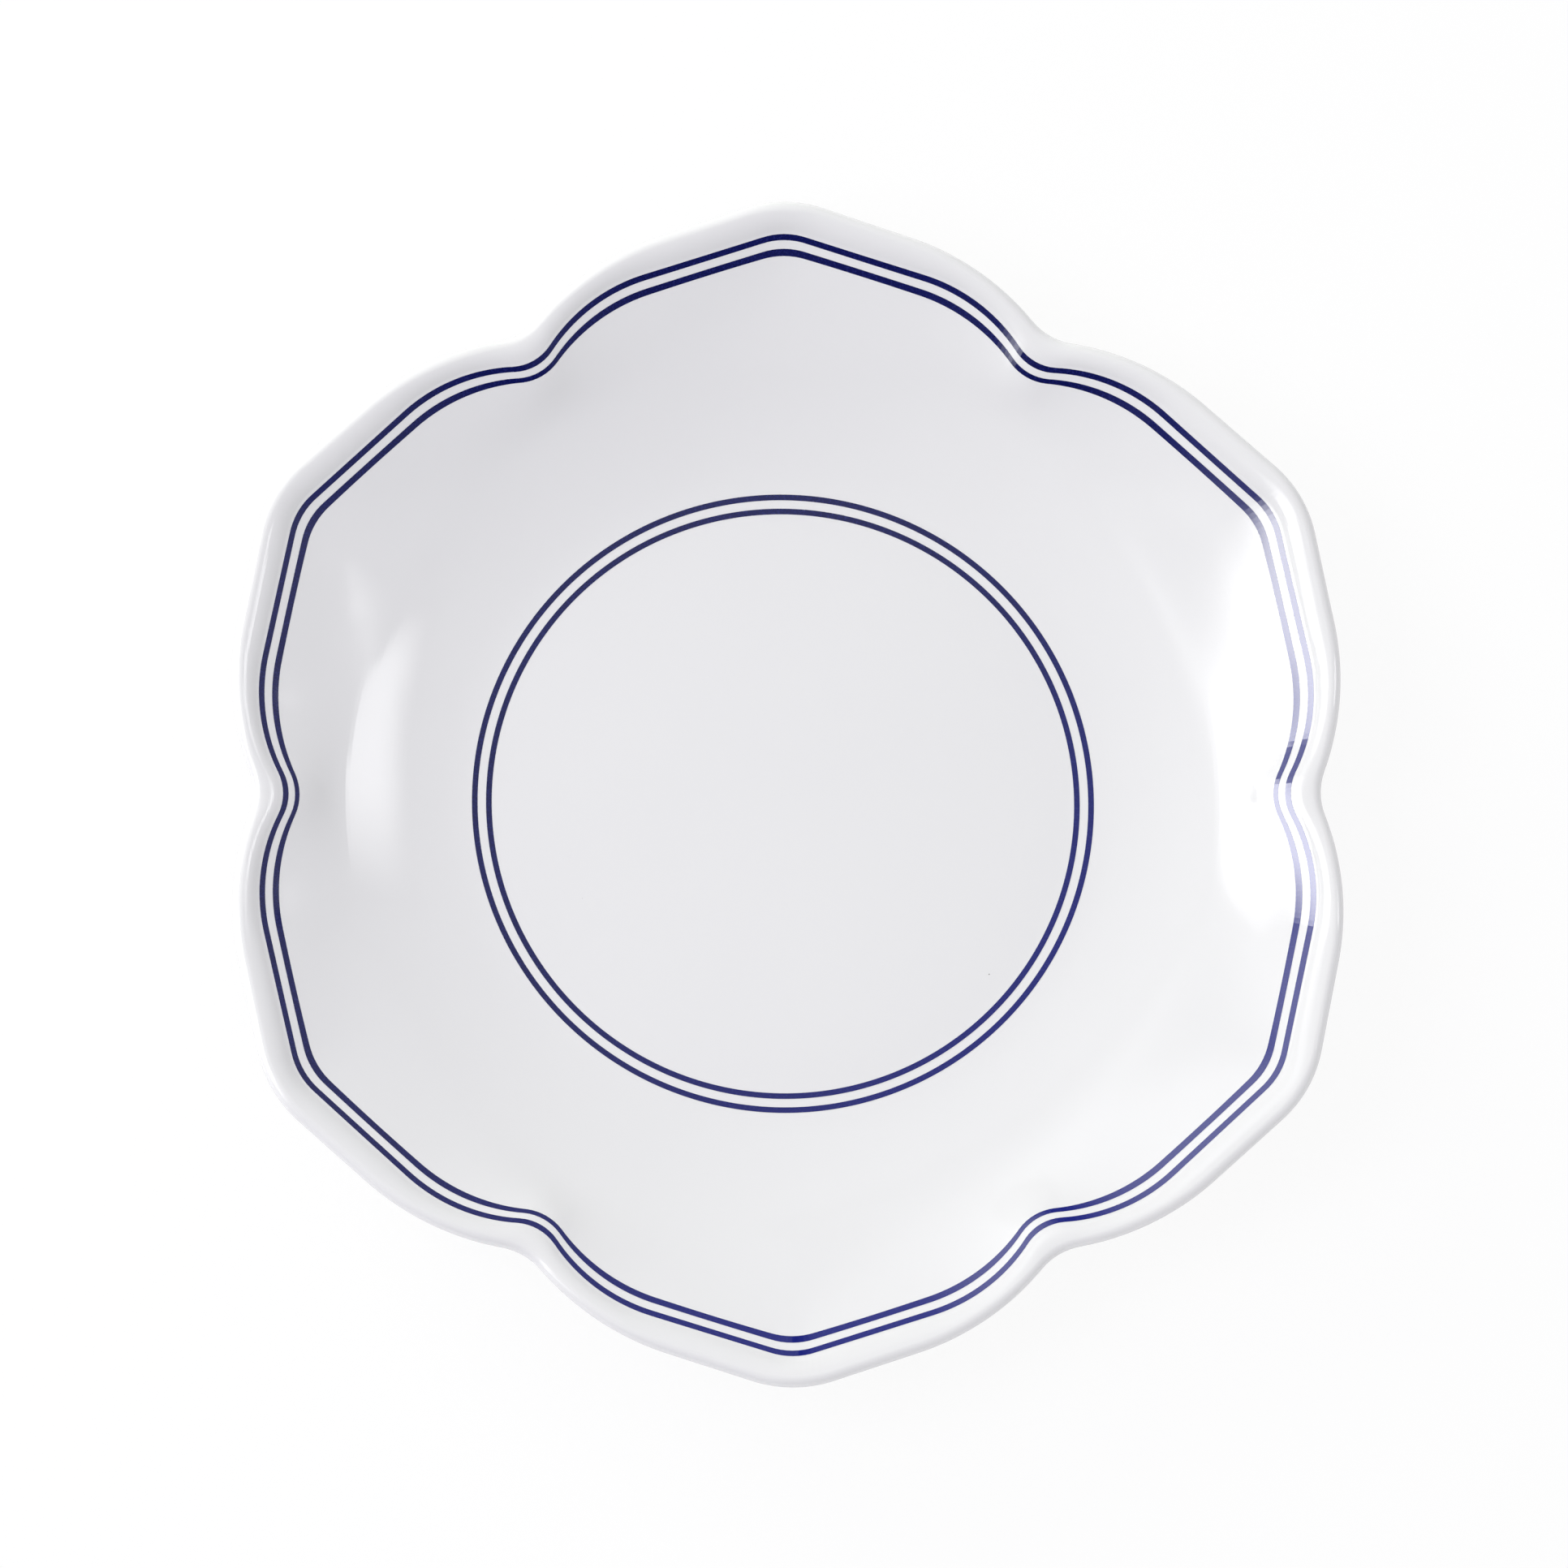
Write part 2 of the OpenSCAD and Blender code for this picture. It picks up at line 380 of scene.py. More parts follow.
def make_lobe_outline():
    bench, s = new_group("lobe_outline", ["Angle", *EDGE])
    tip_arc, shoulder, notch_arc = s["Tip arc"], s["Shoulder arc"], s["Notch arc"]
    tip_centre = Pair(s["Tip radius"] - tip_arc, 0.0)
    flank_out = unit(s["Flank angle"])
    flank_along = Pair(-flank_out.up, flank_out.out)
    flank_start = tip_centre + flank_out.times(tip_arc)
    notch_centre = unit(HALF_LOBE).times(s["Notch radius"] + notch_arc)

    reach = notch_centre - (flank_start - flank_out.times(shoulder))
    along = reach.dot(flank_along)
    touch = shoulder + notch_arc
    straight = along - (along * along - reach.dot(reach) + touch * touch).math("SQRT")
    flank_end = flank_start + flank_along.times(straight)
    shoulder_centre = flank_end - flank_out.times(shoulder)
    towards_notch = notch_centre - shoulder_centre
    meet = shoulder_centre + towards_notch.times(shoulder / towards_notch.length())

    ray = unit(s["Angle"])
    on_tip = ray_to_arc(ray, tip_centre, tip_arc, 1.0)
    on_flank = flank_start.dot(flank_out) / ray.dot(flank_out)
    on_shoulder = ray_to_arc(ray, shoulder_centre, shoulder, 1.0)
    on_notch = ray_to_arc(ray, notch_centre, notch_arc, -1.0)
    radius = mix(on_tip, on_flank, s["Angle"] > flank_start.angle())
    radius = mix(radius, on_shoulder, s["Angle"] > flank_end.angle())
    radius = mix(radius, on_notch, s["Angle"] > meet.angle())
    bench.outputs({"Radius": radius})
    return bench


lobe_outline = make_lobe_outline()
print("The outline takes", len(lobe_outline.tree.nodes), "nodes")

# %% [markdown]
# ## The bowl's surface
#
# A ring of the bowl is named by its base radius, which is its radius where the outline neither
# bulges nor dips. The wall leaves the flat floor in a small arc, the knee, goes on in a wide
# arc and ends in a straight slope. The lobes fade in between the round part of the wall and
# the rim: first as a soft wave, and at the rim with their full, pointed shape, as the clay
# takes them from the mould.

# %% Write the bowl


def rim_base(s):
    return (s["Line tip radius"] + s["Line notch radius"]) * 0.5


def knee_and_wall(s, base):
    """The slope of the knee and the slope that the wall adds to it, at a ring, as sines."""
    knee_sine, wall_sine = s["Knee slope"].math("SINE"), s["Wall slope"].math("SINE")
    knee_end = s["Floor radius"] + s["Knee curve"] * knee_sine
    on_knee = clamped((base - s["Floor radius"]) / s["Knee curve"]).math("MINIMUM", knee_sine)
    on_wall = clamped((base - knee_end) / s["Wall curve"]).math("MINIMUM", wall_sine - knee_sine)
    return on_knee, on_wall


def wall_angle(s, base):
    on_knee, on_wall = knee_and_wall(s, base)
    return (on_knee + on_wall).math("ARCSINE")


def bulge(bench, s, base, phi):
    """How far a ring of the bowl stands out from its base radius."""
    line_shape = dict(zip(EDGE, [s[name] for name in LINE]))
    line_radius = bench.use(lobe_outline, line_shape, Angle=phi)["Radius"]
    round_wall = s["Round wall radius"]
    share = ramp(base, round_wall, rim_base(s) - round_wall)
    depth = (s["Line tip radius"] - s["Line notch radius"]) * 0.5
    soft = depth * (phi * float(LOBES)).math("COSINE")
    return share * mix(soft, line_radius - rim_base(s), share)


def make_bowl_ring():
    bench, s = new_group("bowl_ring", ["Base", "Angle", *LINE, *BOWL])
    base = s["Base"]
    out = bulge(bench, s, base, s["Angle"])
    on_knee, on_wall = knee_and_wall(s, base)
    slope = (on_knee + on_wall).math("ARCSINE")
    knee_cosine = on_knee.math("ARCSINE").math("COSINE")
    wall_cosine = slope.math("COSINE")
    rise = s["Knee curve"] * (1.0 - knee_cosine) + s["Wall curve"] * (knee_cosine - wall_cosine)
    curve_end = s["Floor radius"] + s["Knee curve"] * on_knee + s["Wall curve"] * on_wall
    past_curve = (base - curve_end).math("MAXIMUM", 0.0) * slope.math("TANGENT")
    up = s["Floor top"] + rise + past_curve + s["Lobe climb"] * out
    bench.outputs({"Point": Pair(base + out, up)})
    return bench


bowl_ring = make_bowl_ring()

# %% [markdown]
# The underside follows the bowl at the wall's thickness. Beside the foot ring it is level, and
# it eases from the one into the other.

# %% Write the underside
LEVEL_PAST_FOOT = 3.0 * MM
LEVEL_FADES_OVER = 9.0 * MM


def make_under_ring():
    sizes = ["Base", "Angle", *LINE, *BOWL, "Foot height", "Foot radius"]
    bench, s = new_group("under_ring", sizes)
    top = bench.use(bowl_ring, s)["Point"]
    below = top.up - s["Wall thickness"] / wall_angle(s, s["Base"]).math("COSINE")
    share = ramp(s["Base"] - s["Foot radius"], LEVEL_PAST_FOOT, LEVEL_FADES_OVER)
    bench.outputs({"Point": Pair(top.out, mix(s["Foot height"], below, share))})
    return bench


under_ring = make_under_ring()

# %% [markdown]
# ## The lip
#
# Outside the rim lines the wall turns into a narrow band that runs onto the lip's round edge.
# Where the two meet there is an edge, plain at the notches and almost none at the tips. Glaze
# softens it, so it is rounded with a short curve: a quadratic curve that leaves along the wall
# and arrives along the band. The band itself isn't flat: glaze and sponging have rounded it, so
# it starts steeper and ends flatter than the straight line between its ends. That slight crown
# is what shades the lip softly from dark to light.

# %% Write the lip's section
SHORT_STEP = 0.1 * MM


def make_lip_section():
    bench, s = new_group("lip_section", ["Angle", *EDGE, *LINE, *BOWL, *LIP, *FOOT, *RIBBON])
    edge = bench.use(lobe_outline, s)["Radius"]
    start_base = rim_base(s) + s["Line width"] * 0.5
    start = bench.use(bowl_ring, s, Base=start_base)["Point"]
    just_before = bench.use(bowl_ring, s, Base=start_base - SHORT_STEP)["Point"]
    wall_way = start - just_before
    corner = start + wall_way.times(s["Edge softness"] / wall_way.length())

    lip_round = s["Lip thickness"] * 0.5
    share = (edge - s["Notch radius"]) / (s["Tip radius"] - s["Notch radius"])
    crest = start.up + mix(s["Lip rise at notch"], s["Lip rise at tip"], share)
    centre = Pair(edge - lip_round, crest - lip_round)
    reach = centre - corner
    chord = reach.angle() + (lip_round / reach.length()).math("ARCSINE")
    slope = chord - s["Band crown"]
    band_end = centre + unit(slope + math.pi / 2).times(lip_round)
    steep = chord + s["Band crown"]
    band_start = corner + unit(steep).times(s["Edge softness"])
    half_band = (band_end - band_start).length() * 0.5
    bench.outputs({
        "Start": start,
        "Corner": corner,
        "Band start": band_start,
        "Band middle": band_start + unit(steep).times(half_band),
        "Band before end": band_end - unit(slope).times(half_band),
        "Band end": band_end,
        "Centre": centre,
        "Slope": slope,
        "Round": lip_round,
        "Under": bench.use(under_ring, s, Base=start_base)["Point"],
    })
    return bench


lip_section = make_lip_section()

# %% [markdown]
# ## Strips
#
# Geometry Nodes has a Mesh Grid. Bent round, it becomes a strip of the plate: one side of the
# grid is the way round, the other the way across. Two small groups do the bending. The first
# tells how far across the strip a point lies and at what angle from the nearest tip. The second
# puts the grid's points at a given radius and height. The way round runs clockwise, so that the
# grid's upper side stays outside. Strips that share an edge are then merged into one closed
# skin, which shades smoothly except at creases.

# %% Bend grids into strips
COLUMNS = LOBES * 100
FIRST_TIP = math.radians(30)
MERGE_DISTANCE = 0.004 * MM
CREASE = math.radians(35)


def grid_share(bench, axis):
    """Runs from 0 to 1 along one axis of a grid of size 1."""
    return split(bench, bench.add("GeometryNodeInputPosition"))[axis] + 0.5


def make_strip_coordinates():
    bench, _ = new_group("strip_coordinates", [])
    in_lobe = (grid_share(bench, 0) * float(LOBES)).math("FRACT") * (2 * HALF_LOBE)
    bench.outputs({
        "Across": grid_share(bench, 1),
        "Angle": in_lobe.math("MINIMUM", 2 * HALF_LOBE - in_lobe),
    })
    return bench


def make_ring_strip():
    bench, s = new_group("ring_strip", ["Rows", "Out", "Up"])
    grid = bench.add("GeometryNodeMeshGrid", {
        "Size X": 1.0, "Size Y": 1.0, "Vertices X": COLUMNS + 1, "Vertices Y": s["Rows"] + 1.0})
    azimuth = FIRST_TIP - grid_share(bench, 0) * (2 * math.pi)
    round_about = unit(azimuth).times(s["Out"])
    place = bench.add("ShaderNodeCombineXYZ", {0: round_about.out, 1: round_about.up, 2: s["Up"]})
    bent = bench.add("GeometryNodeSetPosition", {"Geometry": grid, "Position": place})
    bench.outputs({"Geometry": bent})
    return bench


strip_coordinates = make_strip_coordinates()
ring_strip = make_ring_strip()


def strip(bench, rows, point):
    return bench.use(ring_strip, {}, Rows=float(rows), Out=point.out, Up=point.up)["Geometry"]


def close_skin(bench, strips, material):
    """Merges strips into one closed skin and gives it its material."""
    join = bench.node("GeometryNodeJoinGeometry")
    for part in strips:
        bench.tree.links.new(part.socket, join.inputs["Geometry"])
    merged = bench.add("GeometryNodeMergeByDistance", {
        "Geometry": Wire(bench, join.outputs[0]), "Distance": MERGE_DISTANCE})
    sharp = bench.add("GeometryNodeInputMeshEdgeAngle") > CREASE
    shaded = bench.add("GeometryNodeSetShadeSmooth", {0: merged, 1: sharp, 2: False}, domain="EDGE")
    real = bench.add("GeometryNodeRealizeInstances", {"Geometry": shaded})
    return bench.add("GeometryNodeSetMaterial", {"Geometry": real, "Material": material})


def grow(name, bench, sizes):
    """Runs a group on a new object and keeps the result as a plain mesh."""
    piece = bpy.data.objects.new(name, bpy.data.meshes.new(name))
    bpy.context.scene.collection.objects.link(piece)
    modifier = piece.modifiers.new("shape", "NODES")
    modifier.node_group = bench.tree
    for size, identifier in bench.identifiers.items():
        modifier[identifier] = sizes[size]
    depsgraph = bpy.context.evaluated_depsgraph_get()
    mesh = bpy.data.meshes.new_from_object(piece.evaluated_get(depsgraph))
    piece.modifiers.remove(modifier)
    piece.data = mesh
    mesh.calc_loop_triangles()
    print(name, "has", len(mesh.loop_triangles), "triangles")
    return piece


# %% [markdown]
# ## The glaze
#
# Glazed porcelain is a dense white body under a thin layer of clear glass. Light goes through
# the glass, scatters in the white and comes out again, and the glass adds its own sharp
# reflection on top: a diffuse white with a dielectric gloss. The glass has settled in the kiln,
# so it isn't quite flat. Broad, shallow waves bend the reflections, and a finer ripple roughens
# their edges. A few dark specks of iron sit in the white, and it is faintly cooler here and
# there. Where the foot stood in the kiln the glaze was wiped and ground away: that face is bare,
# warmer and matt. All patterns read Object coordinates, so they stay on the plate.

# %% Make the porcelain


def new_material(name):
    material = bpy.data.materials.new(name)
    material.use_nodes = True
    material.node_tree.nodes.clear()
    return material, Bench(material.node_tree)


def mix_colours(bench, share, first, second):
    """Blends two colours, which a Mix node takes in its inputs 6 and 7."""
    return bench.add("ShaderNodeMix", {0: share, 6: first, 7: second}, out=2, data_type="RGBA")


def noise(bench, place, scale, detail):
    return bench.add("ShaderNodeTexNoise", {
        "Vector": place, "Scale": scale, "Detail": detail, "Roughness": 0.5})


GLAZE_WAVE_HEIGHT = 0.10 * MM
GLAZE_RIPPLE_SHARE = 0.06


def kiln_ripple(bench, place):
    """The normal of settled glaze: broad shallow waves and a fine ripple."""
    waves = noise(bench, place, scale=38.0, detail=1.0)
    ripple = noise(bench, place, scale=210.0, detail=1.0)
    return bench.add("ShaderNodeBump", {
        "Strength": 1.0, "Distance": GLAZE_WAVE_HEIGHT,
        "Height": waves + GLAZE_RIPPLE_SHARE * ripple})


SPECK_CELL = 9.0 * MM
SPECK_RADIUS = 0.16 * MM
SMALLEST_SPECK = 0.4
SPECK_SHARE = 0.12


def iron_specks(bench, place):
    """1 inside a few tiny dots, spread at random over the white."""
    cells = {"Vector": place, "Scale": 1.0 / SPECK_CELL, "Randomness": 1.0}
    distance = bench.add("ShaderNodeTexVoronoi", cells, out="Distance")
    draw = bench.add("ShaderNodeTexVoronoi", cells, out="Color")
    first_draw = bench.add("ShaderNodeSeparateColor", {0: draw}, out=0)
    second_draw = bench.add("ShaderNodeSeparateColor", {0: draw}, out=1)
    radius = mix(SMALLEST_SPECK, 1.0, second_draw) * (SPECK_RADIUS / SPECK_CELL)
    return (distance < radius) * (first_draw < SPECK_SHARE)


COOLER_WHITE = (0.815, 0.815, 0.825, 1)
WARMER_WHITE = (0.845, 0.845, 0.85, 1)
IRON_GREY = (0.2, 0.19, 0.19, 1)
BARE_CLAY = (0.70, 0.67, 0.62, 1)
BARE_UP_TO = 0.16 * MM
BARE_EDGE_WANDERS = 0.12 * MM
BARE_ROUGHNESS = (0.55, 0.80)
GLAZE_ROUGHNESS = 0.07
GLAZE_IOR = 1.5


def make_porcelain():
    material, bench = new_material("glazed_white_porcelain")
    place = bench.add("ShaderNodeTexCoord", out="Object")
    height = split(bench, place)[2]

    cloud = noise(bench, place, scale=16.0, detail=3.0)
    white = mix_colours(bench, cloud, COOLER_WHITE, WARMER_WHITE)
    specked = mix_colours(bench, iron_specks(bench, place), white, IRON_GREY)

    grind = noise(bench, place, scale=900.0, detail=2.0)
    bare = height < BARE_UP_TO + BARE_EDGE_WANDERS * grind
    colour = mix_colours(bench, bare, specked, BARE_CLAY)
    roughness = mix(GLAZE_ROUGHNESS, mix(*BARE_ROUGHNESS, grind), bare)

    surface = bench.add("ShaderNodeBsdfPrincipled", {
        "Base Color": colour, "Roughness": roughness, "IOR": GLAZE_IOR,
        "Normal": kiln_ripple(bench, place)})
    bench.node("ShaderNodeOutputMaterial", {"Surface": surface})
    return material


porcelain = make_porcelain()

# %% [markdown]
# ## The cobalt lines' colour
#
# The transfer's ink is a screen-printed layer of cobalt pigment in a dense, glassy flux. It melts
# into the glaze, so it is as smooth as the glaze, but such a flux bends light more and mirrors it
# more than twice as strongly. A high IOR gives that, and a bright card then washes the blue out
# to a pale violet. Seen close up the blue is mottled: darker where the ink is thick, and a little
# white shows through where it is thin. Towards the near right side, where the light falls most
# strongly, the blue is also painted lighter. That is painted light, not a change in the print.

# %% Make the cobalt
THICK_INK = (0.003, 0.005, 0.070, 1)
PLAIN_INK = (0.006, 0.009, 0.110, 1)
# Painted light: the lighter blue of the side where the light falls most, towards the near right.
LIT_SIDE_PAINTED_INK = (0.012, 0.018, 0.23, 1)
THINNEST_INK = (0.05, 0.06, 0.30, 1)
FLUX_IOR = 1.9
# Painted light: where the lighter blue of the lit side begins, where it is full, and how much of it
# is laid on.
PAINTED_LIGHT_STARTS = -20 * MM
PAINTED_LIGHT_FULL = 90 * MM
PAINTED_LIGHT_SHARE = 0.8
THIN_SPOTS_ABOVE = 0.52
THIN_SPOT_STEEPNESS = 5.0
THIN_SPOT_SHARE = 0.25


def make_cobalt():
    material, bench = new_material("fired_cobalt")
    place = bench.add("ShaderNodeTexCoord", out="Object")
    x, y, _ = split(bench, place)

    cloud = noise(bench, place, scale=120.0, detail=3.0)
    ink = mix_colours(bench, cloud, THICK_INK, PLAIN_INK)
    # Painted light: the blue turns lighter towards the near right, where the light falls most
    # strongly.
    towards_painted_light = (x - y) * math.sqrt(0.5)
    fade = PAINTED_LIGHT_FULL - PAINTED_LIGHT_STARTS
    painted_light_share = ramp(towards_painted_light, PAINTED_LIGHT_STARTS, fade) * PAINTED_LIGHT_SHARE
    ink = mix_colours(bench, painted_light_share, ink, LIT_SIDE_PAINTED_INK)

    grain = noise(bench, place, scale=2600.0, detail=2.0)
    thin = clamped((grain - THIN_SPOTS_ABOVE) * THIN_SPOT_STEEPNESS) * THIN_SPOT_SHARE
    colour = mix_colours(bench, thin, ink, THINNEST_INK)
    surface = bench.add("ShaderNodeBsdfPrincipled", {
        "Base Color": colour, "Roughness": GLAZE_ROUGHNESS, "IOR": FLUX_IOR,
        "Normal": kiln_ripple(bench, place)})
    bench.node("ShaderNodeOutputMaterial", {"Surface": surface})
    return material


cobalt = make_cobalt()

# %% [markdown]
# ## The porcelain piece
#
# The whole body is one skin, and its shape follows a rule, so it is grown rather than modelled
# by hand. It could be a lathe turned round a profile, but the profile changes along each lobe.
# The strips run from the middle of the floor up the wall, over the lip and back below to the
# foot ring.
#
# The section of the foot ring is a narrow trapezoid, wider at its root than at its ground face.
# Its lower edges are slightly rounded by grinding, and glaze gathers in the corner at its root as
# a fillet. The inner side mirrors the outer one about the middle of the ground face.

# %% Write the foot ring
ROOT_ROWS = 6
SIDE_ROWS = 2
GROUND_EDGE_ROWS = 4
GROUND_FACE_ROWS = 1


def foot_side(bench, s, across, side):
    """One side of the foot ring: its strips from root to face, and its root's end."""
    lean = s["Foot flare"].math("ARCTANGENT")
    half_face = s["Foot face"] * 0.5
    middle = s["Foot radius"] - half_face
    edge, root = s["Foot edge round"], s["Foot root round"]
    set_back = ((math.pi / 2 + lean) * 0.5).math("TANGENT")
    edge_centre = Pair(half_face - edge / set_back, edge)
    root_out = half_face + s["Foot flare"] * s["Foot height"] + root / set_back
    root_centre = Pair(root_out, s["Foot height"] - root)

    def placed(pair):
        return Pair(middle + side * pair.out, pair.up)

    def on_edge(angle):
        return placed(edge_centre + unit(angle).times(edge))

    def on_root(angle):
        return placed(root_centre + unit(angle).times(root))

    upright = math.pi / 2
    way = across if side > 0 else 1.0 - across
    strips = [
        strip(bench, ROOT_ROWS, on_root(mix(upright, math.pi - lean, way))),
        strip(bench, SIDE_ROWS, mix(on_root(math.pi - lean), on_edge(-lean), way)),
        strip(bench, GROUND_EDGE_ROWS, on_edge(mix(-lean, -upright, way))),
        strip(bench, GROUND_FACE_ROWS, mix(on_edge(-upright), Pair(middle, 0.0), way)),
    ]
    return strips, on_root(upright)


# %% Grow the porcelain
FLOOR_ROWS = 5
WALL_ROWS = 54
EDGE_ROWS = 5
BAND_ROWS = 10
LIP_ROWS = 16
LIP_BACK_ROWS = 3
UNDER_ROWS = 26


def make_plate():
    bench, s = new_group("porcelain_plate", [*EDGE, *LINE, *BOWL, *LIP, *FOOT, *RIBBON])
    where = bench.use(strip_coordinates, {})
    across, phi = where["Across"], where["Angle"]
    lip = bench.use(lip_section, s, Angle=phi)
    outermost = rim_base(s) + s["Line width"] * 0.5
    wall_base = mix(s["Floor radius"], outermost, across)
    wall = bench.use(bowl_ring, s, Base=wall_base, Angle=phi)["Point"]

    edge_first = mix(lip["Start"], lip["Corner"], across)
    edge_second = mix(lip["Corner"], lip["Band start"], across)
    crown_middle = mix(lip["Band middle"], lip["Band before end"], 0.5)
    band_first = mix(lip["Band start"], crown_middle, across)
    band_second = mix(crown_middle, lip["Band end"], across)
    turn = lip["Slope"] + math.pi / 2 - across * math.pi
    over_lip = lip["Centre"] + unit(turn).times(lip["Round"])
    lip_end = lip["Centre"] + unit(lip["Slope"] - math.pi / 2).times(lip["Round"])

    outer_foot, outer_root = foot_side(bench, s, across, 1.0)
    inner_foot, inner_root = foot_side(bench, s, across, -1.0)
    under_base = mix(outermost, outer_root.out, across)
    underside = bench.use(under_ring, s, Base=under_base, Angle=phi)["Point"]

    strips = [
        strip(bench, FLOOR_ROWS, Pair(s["Floor radius"] * across, s["Floor top"])),
        strip(bench, WALL_ROWS, wall),
        strip(bench, EDGE_ROWS, mix(edge_first, edge_second, across)),
        strip(bench, BAND_ROWS, mix(band_first, band_second, across)),
        strip(bench, LIP_ROWS, over_lip),
        strip(bench, LIP_BACK_ROWS, mix(lip_end, lip["Under"], across)),
        strip(bench, UNDER_ROWS, underside),
        *outer_foot,
        *inner_foot,
        strip(bench, FLOOR_ROWS, Pair(inner_root.out * (1.0 - across), s["Foot height"])),
    ]
    bench.outputs({"Geometry": close_skin(bench, strips, porcelain)})
    return bench


all_sizes = {**EDGE, **LINE, **BOWL, **LIP, **FOOT, **RIBBON}
plate = grow("porcelain_plate", make_plate(), all_sizes)
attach(plate, "root")
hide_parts("plate_body")

# %% [markdown]
# ## The four lines
#
# Each line is a ribbon of colour that lies on the bowl and follows one of its rings. A curve
# with a flat profile swept along it would work, but it would cut corners on the curved wall.
# The ribbon is grown from the bowl's own formula instead, with the same columns as the
# porcelain, so it hugs the surface all the way round. It is closed on all sides, a few hundredths
# of a millimetre proud of the glaze and as much sunk into it.

# %% Grow the lines
RIBBON_ROWS = 3


def make_ribbon():
    bench, s = new_group("colour_line", ["Line base", *LINE, *BOWL, *RIBBON])
    where = bench.use(strip_coordinates, {})
    across, phi = where["Across"], where["Angle"]
    proud = s["Line proud"]
    inner = s["Line base"] - s["Line width"] * 0.5
    outer = s["Line base"] + s["Line width"] * 0.5

    def lifted(base, lift):
        point = bench.use(bowl_ring, s, Base=base, Angle=phi)["Point"]
        return Pair(point.out, point.up + lift)

    strips = [
        strip(bench, 1, lifted(inner, mix(-proud, proud, across))),
        strip(bench, RIBBON_ROWS, lifted(mix(inner, outer, across), proud)),
        strip(bench, 1, lifted(outer, mix(proud, -proud, across))),
        strip(bench, RIBBON_ROWS, lifted(mix(outer, inner, across), -proud)),
    ]
    bench.outputs({"Geometry": close_skin(bench, strips, cobalt)})
    return bench


ribbon = make_ribbon()
rim_line_base = (LINE["Line tip radius"] + LINE["Line notch radius"]) / 2
line_bases = {
    "rim_line_outer": rim_line_base,
    "rim_line_inner": rim_line_base - RIM_LINE_PITCH,
    "well_line_outer": WELL_LINE_RADIUS,
    "well_line_inner": WELL_LINE_RADIUS - WELL_LINE_PITCH,
}
for node_name, base in line_bases.items():
    line = grow(node_name.replace("line", "cobalt"), ribbon, {**all_sizes, "Line base": base})
    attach(line, "root")
    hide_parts(node_name)

# %% [markdown]
# ## The stage and the light
#
# The plate stands on a wide white sweep. Seen by the camera, the floor is plain white paper:
# most of what the camera gets from it is a steady white, and the rest is its true lit colour,
# so that the plate's soft shadow stays. The sweep also sends some of its own light up to the
# outside of the lip. A pale, slightly cool room fills the shadows. In the mirror of the glaze the
# same room is much dimmer, and dark at the near side, where a photographer hangs black cloth.
# That keeps the far lines almost black-blue.

# %% Build the floor and the room
WHITE = (1, 1, 1, 1)
PAPER = (0.85, 0.85, 0.85, 1)
FLOOR_SIZE = 12.0
CAMERA_WHITE = 0.86
CAMERA_WHITE_STRENGTH = 1.02
FLOOR_GLOW = 0.10


def make_floor():
    mesh = bpy.data.meshes.new("floor")
    half = FLOOR_SIZE / 2
    corners = [(-half, -half, 0), (half, -half, 0), (half, half, 0), (-half, half, 0)]
    mesh.from_pydata(corners, [], [(0, 1, 2, 3)])
    floor = bpy.data.objects.new("floor", mesh)
    bpy.context.scene.collection.objects.link(floor)

    material, bench = new_material("white_sweep")
    seen = bench.add("ShaderNodeLightPath", out="Is Camera Ray")
    diffuse = bench.add("ShaderNodeBsdfDiffuse", {"Color": PAPER})
    glow = bench.add("ShaderNodeEmission", {"Color": WHITE, "Strength": (1.0 - seen) * FLOOR_GLOW})
    paper = bench.add("ShaderNodeAddShader", {0: diffuse, 1: glow})
    white = bench.add("ShaderNodeEmission", {"Color": WHITE, "Strength": CAMERA_WHITE_STRENGTH})
    surface = bench.add("ShaderNodeMixShader", {0: seen * CAMERA_WHITE, 1: paper, 2: white})
    bench.node("ShaderNodeOutputMaterial", {"Surface": surface})
    mesh.materials.append(material)


ROOM_COLOUR = (0.99, 0.988, 1.0, 1)
ROOM_STRENGTH = 0.738
MIRRORED_ROOM = 0.28
DARK_SIDE_ENDS = -0.75
DARK_SIDE_FADE = 0.6


def make_room():
    """Makes the world. The y of a direction tells how far it points away from the near side."""
    world = bpy.data.worlds.new("room")
    world.use_nodes = True
    world.node_tree.nodes.clear()
    bench = Bench(world.node_tree)
    seen = bench.add("ShaderNodeLightPath", out="Is Camera Ray")
    mirrored = bench.add("ShaderNodeLightPath", out="Is Glossy Ray")
    way = bench.add("ShaderNodeTexCoord", out="Generated")
    away_from_near_side = split(bench, way)[1]
    lit = MIRRORED_ROOM * ramp(away_from_near_side, DARK_SIDE_ENDS, DARK_SIDE_FADE)
    room = bench.add("ShaderNodeBackground", {"Color": ROOM_COLOUR, "Strength": ROOM_STRENGTH})
    dim = bench.add("ShaderNodeBackground", {"Color": WHITE, "Strength": lit})
    white = bench.add("ShaderNodeBackground", {"Color": WHITE, "Strength": 1.0})
    unseen = bench.add("ShaderNodeMixShader", {0: mirrored, 1: room, 2: dim})
    surface = bench.add("ShaderNodeMixShader", {0: seen, 1: unseen, 2: white})
    bench.node("ShaderNodeOutputWorld", {"Surface": surface})
    bpy.context.scene.world = world


make_floor()
make_room()

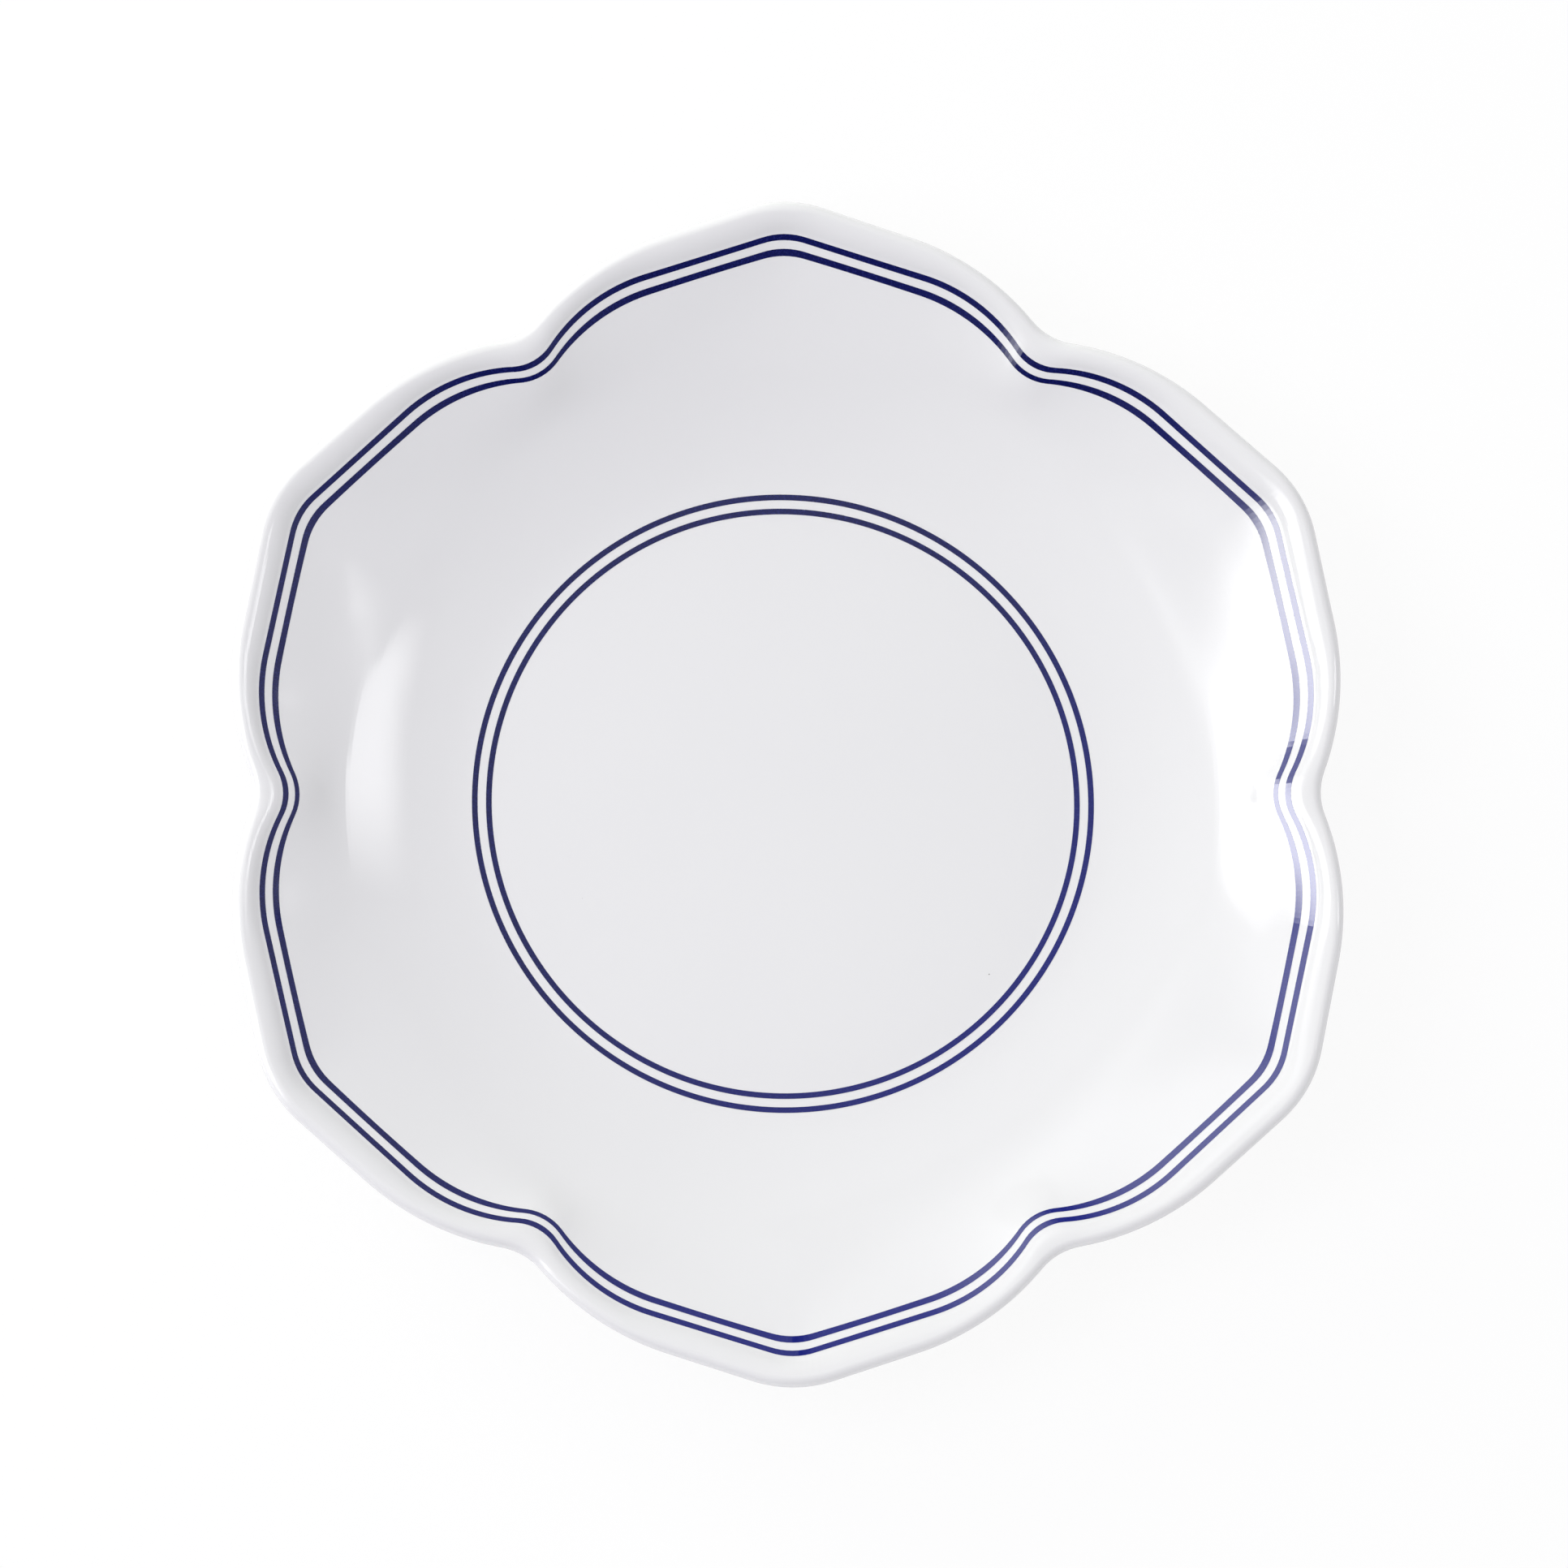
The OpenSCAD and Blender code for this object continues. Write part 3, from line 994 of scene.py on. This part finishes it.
# %% [markdown]
# A photograph of white china is usually developed with a curve that holds back the brightest
# whites, so that strong reflections and a soft modelling of the walls fit into one picture. This
# render has no such curve. So what models the white body and what shows as a reflection are made
# apart. Two lamps, a low one behind the left and a higher one at the left, only model the body.
# Three glowing cards only show as mirror images, which lie on the opposite side of the plate:
# a big bright one at the left washes out the cobalt in the right-hand wall, a dim one behind the
# left lightens the lines at the lower right, and a slim one at the right, whose lower corner is
# cut off, is the tall glow in the left-hand wall. A card fades at its sides, as the cloth of a
# soft box does. The bright one ends well above the table, so that the flat well doesn't mirror it
# when the plate is looked at from a low place on the right.

# %% Hang the lamps and the cards
LAMP_SIDE = 0.6
LAMP_DISTANCE = 1.2
CARD_DISTANCE = 1.0
RAISED_CARD = [(-0.585, -0.110), (0.324, -0.405), (0.585, -0.405), (0.585, 0.405), (-0.585, 0.405)]
WIDE_CARD = [(-0.65, -0.30), (0.65, -0.30), (0.65, 0.30), (-0.65, 0.30)]
CUT_CORNER_CARD = [(-0.15, 0.09), (0.13, -0.14), (0.28, -0.14), (0.28, 0.17), (-0.15, 0.17)]


def face_the_plate(thing, azimuth, elevation, distance, roll=0):
    """Puts a lamp or a card at two angles, in degrees seen from the plate, and turns it there."""
    a, e = math.radians(azimuth), math.radians(elevation)
    way = Vector((math.cos(a) * math.cos(e), math.sin(a) * math.cos(e), math.sin(e)))
    thing.location = way * distance
    thing.rotation_mode = "QUATERNION"
    thing.rotation_quaternion = Quaternion(way, math.radians(roll)) @ way.to_track_quat("Z", "Y")
    bpy.context.scene.collection.objects.link(thing)


def hang_lamp(name, watts, colour):
    data = bpy.data.lights.new(name, "AREA")
    data.shape = "RECTANGLE"
    data.size, data.size_y = LAMP_SIDE, LAMP_SIDE
    data.energy = watts
    data.color = colour
    lamp = bpy.data.objects.new(name, data)
    lamp.visible_glossy = False
    return lamp


def hang_card(name, corners, glow, fade):
    """A card that shows only in reflections. fade holds the widths of its four soft sides."""
    mesh = bpy.data.meshes.new(name)
    mesh.from_pydata([(x, y, 0) for x, y in corners], [], [range(len(corners))])
    card = bpy.data.objects.new(name, mesh)
    material, bench = new_material(name)
    x, y, _ = split(bench, bench.add("ShaderNodeTexCoord", out="Object"))
    across, up = zip(*corners)
    left, right, lower, upper = fade
    strength = glow * ramp(x, min(across), left) * ramp(-x, -max(across), right)
    strength = strength * ramp(y, min(up), lower) * ramp(-y, -max(up), upper)
    glowing = bench.add("ShaderNodeEmission", {"Color": WHITE, "Strength": strength})
    bench.node("ShaderNodeOutputMaterial", {"Surface": glowing})
    mesh.materials.append(material)
    card.visible_camera = False
    card.visible_diffuse = False
    card.visible_shadow = False
    return card


low_lamp = hang_lamp("low_lamp", watts=5.5, colour=(0.958, 1.0, 0.847))
high_lamp = hang_lamp("high_lamp", watts=3.9, colour=(0.898, 0.869, 1.0))
face_the_plate(low_lamp, azimuth=135, elevation=20, distance=LAMP_DISTANCE)
face_the_plate(high_lamp, azimuth=180, elevation=50, distance=LAMP_DISTANCE)

left_card = hang_card("left_card", RAISED_CARD, glow=7.3, fade=(0.34, 0.42, 0.14, 0.25))
far_card = hang_card("far_card", WIDE_CARD, glow=1.3, fade=(0.60, 0.30, 0.15, 0.20))
right_card = hang_card("right_card", CUT_CORNER_CARD, glow=4.7, fade=(0.11, 0.19, 0.04, 0.11))
face_the_plate(left_card, azimuth=183.5, elevation=38.2, distance=CARD_DISTANCE, roll=18)
face_the_plate(far_card, azimuth=130, elevation=40, distance=CARD_DISTANCE)
face_the_plate(right_card, azimuth=0, elevation=50, distance=CARD_DISTANCE)

bpy.context.scene.view_settings.view_transform = "Standard"
